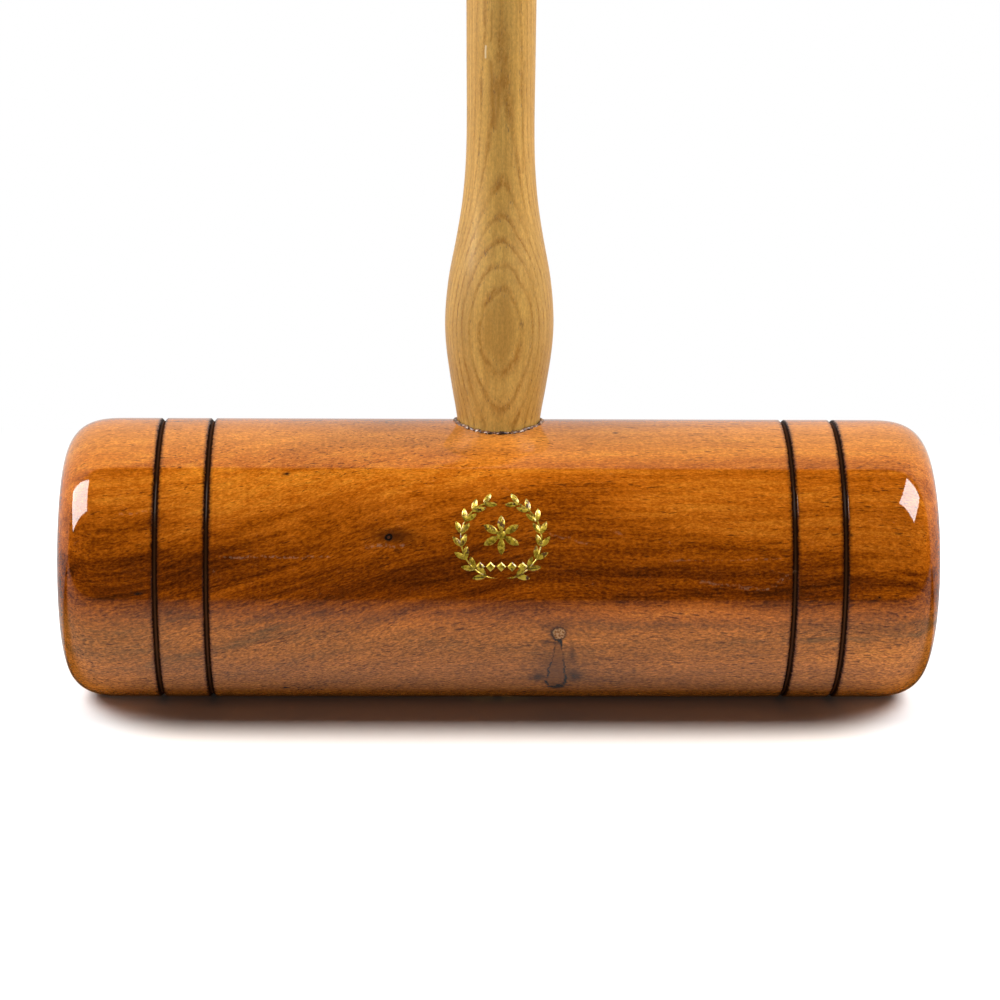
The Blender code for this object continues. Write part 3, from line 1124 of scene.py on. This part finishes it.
ornamentSetup = {
    "smooth": 28,
    "height": 11.7 * mm,  # its middle, measured up around the head from the height of the axis
    "thickness": 0.10 * mm,
    "ridge": 0.16 * mm,
    # width of the sloping rim of each piece, as a share of its size
    "leafRim": 0.27,
    "buttonRim": 0.35,
    "lozengeRim": 0.25,
    "wreathRadius": 10.2 * mm,
    "wreathTop": 26,  # degrees from straight up to the last leaf
    "wreathBottom": 158,
    "leafPairs": 8,
    "leaf": (3.5 * mm, 1.35 * mm),
    "leafSpread": 30,
    "stem": 0.20 * mm,
    "stemGap": 0.6 * mm,
    "stemPastLeaves": 8,
    "petal": (4.3 * mm, 1.9 * mm),
    "petals": 6,
    "flowerRise": 1.0 * mm,
    "button": 1.15 * mm,
    "lozenge": 1.25 * mm,
    "lozengeStep": 2.7 * mm,
    "lozenges": 5,
    "rowDrop": 7.0 * mm,
    "gold": (0.66, 0.46, 0.035),
    "oldGold": (0.25, 0.155, 0.010),
    "worn": (0.10, 0.035, 0.006),
}


def emboss(piece, margin, setup):
    # raise the flat top into a ridge inside a sloping rim
    pickFaces(piece, lambda face: face.normal.z > 0.9)
    bpy.ops.mesh.inset(thickness=margin)
    bpy.ops.transform.translate(value=(0, 0, setup["ridge"]))
    setMode("OBJECT")


def layDisc(name, corners, radius, place, setup):
    thick = setup["thickness"]
    deselectAll()
    bpy.ops.mesh.primitive_cylinder_add(
        vertices=corners, radius=radius, depth=thick, location=(*place, thick / 2)
    )
    disc = nameActive(name)
    settle(disc)
    return disc


def pressLeaf(name, size, setup):
    # two discs overlap in a pointed leaf whose stem end is at the origin
    length, width = size
    radius = (length**2 + width**2) / (4 * width)
    aside = radius - width / 2
    halves = [layDisc(name, 96, radius, (length / 2, side * aside), setup) for side in (-1, 1)]
    cutWith(halves[0], halves[1], "INTERSECT")
    dropTool(halves[1])
    emboss(halves[0], width * setup["leafRim"], setup)
    return halves[0]


def pressDisc(name, corners, radius, margin, setup):
    disc = layDisc(name, corners, radius, (0, 0), setup)
    emboss(disc, margin, setup)
    return disc


def copyTo(piece, place, turn):
    # a copy with its own mesh, turned in the flat and moved
    twin = piece.copy()
    twin.data = piece.data.copy()
    bpy.context.collection.objects.link(twin)
    twin.matrix_world = Matrix.Translation((*place, 0)) @ Matrix.Rotation(turn, 4, "Z")
    settle(twin)
    return twin


def pressWreath(setup):
    leaf = pressLeaf("leaf", setup["leaf"], setup)
    spread = math.radians(setup["leafSpread"])
    radius = setup["wreathRadius"]
    pieces = []
    for side in (-1, 1):
        for index in range(setup["leafPairs"]):
            share = index / (setup["leafPairs"] - 1)
            degrees = setup["wreathBottom"] + (setup["wreathTop"] - setup["wreathBottom"]) * share
            turn = math.radians(degrees)
            place = (side * radius * math.sin(turn), radius * math.cos(turn))
            # leaves point up along the stem, one to each side of it
            heading = math.atan2(math.sin(turn), -side * math.cos(turn))
            for lean in (-spread, spread):
                pieces.append(copyTo(leaf, place, heading + lean))
        deselectAll()
        bpy.ops.mesh.primitive_torus_add(
            major_radius=radius, minor_radius=setup["stem"], major_segments=180, minor_segments=10
        )
        stem = nameActive("stem")
        low = -radius * math.cos(math.radians(180 - setup["wreathBottom"] - setup["stemPastLeaves"]))
        high = radius * math.cos(math.radians(setup["wreathTop"]))
        for point, normal in (
            ((side * setup["stemGap"], 0, 0), (side, 0, 0)),
            ((0, low, 0), (0, 1, 0)),
            ((0, high, 0), (0, -1, 0)),
            ((0, 0, 0), (0, 0, 1)),
        ):
            setMode("EDIT")
            bpy.ops.mesh.select_all(action="SELECT")
            bpy.ops.mesh.bisect(plane_co=point, plane_no=normal, use_fill=True, clear_inner=True)
            setMode("OBJECT")
        pieces.append(stem)
    dropTool(leaf)
    return pieces


def pressFlower(setup):
    petal = pressLeaf("petal", setup["petal"], setup)
    pieces = []
    for index in range(setup["petals"]):
        turn = math.pi / 2 + math.tau * index / setup["petals"]
        start = 0.7 * setup["button"]
        place = (start * math.cos(turn), start * math.sin(turn) + setup["flowerRise"])
        pieces.append(copyTo(petal, place, turn))
    dropTool(petal)
    button = pressDisc("button", 32, setup["button"], setup["buttonRim"] * setup["button"], setup)
    pieces.append(copyTo(button, (0, setup["flowerRise"]), 0))
    dropTool(button)
    return pieces


def pressRow(setup):
    lozenge = pressDisc("lozenge", 4, setup["lozenge"], setup["lozengeRim"] * setup["lozenge"], setup)
    pieces = []
    for index in range(setup["lozenges"]):
        along = (index - (setup["lozenges"] - 1) / 2) * setup["lozengeStep"]
        pieces.append(copyTo(lozenge, (along, -setup["rowDrop"]), math.pi / 2))
    dropTool(lozenge)
    return pieces


def pressOrnament(setup):
    pieces = pressWreath(setup) + pressFlower(setup) + pressRow(setup)
    deselectAll()
    for piece in pieces:
        piece.select_set(True)
    bpy.context.view_layer.objects.active = pieces[0]
    bpy.ops.object.join()
    ornament = nameActive("giltOrnament")
    settle(ornament)
    setMode("EDIT")
    bpy.ops.mesh.select_all(action="SELECT")
    bpy.ops.mesh.normals_make_consistent(inside=False)
    setMode("OBJECT")
    # bend the flat work round the front of the head
    for vertex in ornament.data.vertices:
        turn = (setup["height"] + vertex.co.y) / headRadius
        reach = headRadius + vertex.co.z
        vertex.co = (vertex.co.x, -reach * math.cos(turn), axisHeight + reach * math.sin(turn))
    smoothBelow(setup["smooth"])
    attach(ornament, "root")
    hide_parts("gilt_ornament")
    return ornament


def paintOrnament(setup):
    material, shader, place = newMaterial(
        "giltFoil", Metallic=0.45, Coat_Weight=0.6, Coat_Roughness=0.06
    )
    dapple = noiseAt(place, 1100.0, 3.0, 0.65)
    patch = noiseAt(place, 260.0, 2.0, 0.6)
    color = mixColor(remap(dapple, 0.40, 0.58), setup["oldGold"], setup["gold"])
    worn = times(remap(dapple, 0.50, 0.42), remap(patch, 0.48, 0.60))
    color = mixColor(worn, color, setup["worn"])
    feed(color, shader["Base Color"])
    feed(remap(patch, 0.3, 0.7, 0.22, 0.42), shader["Roughness"])
    bumpFrom(dapple, 0.00012, shader["Normal"])
    return material


ornament = pressOrnament(ornamentSetup)
dress(ornament, paintOrnament(ornamentSetup))
print("ornament pressed")
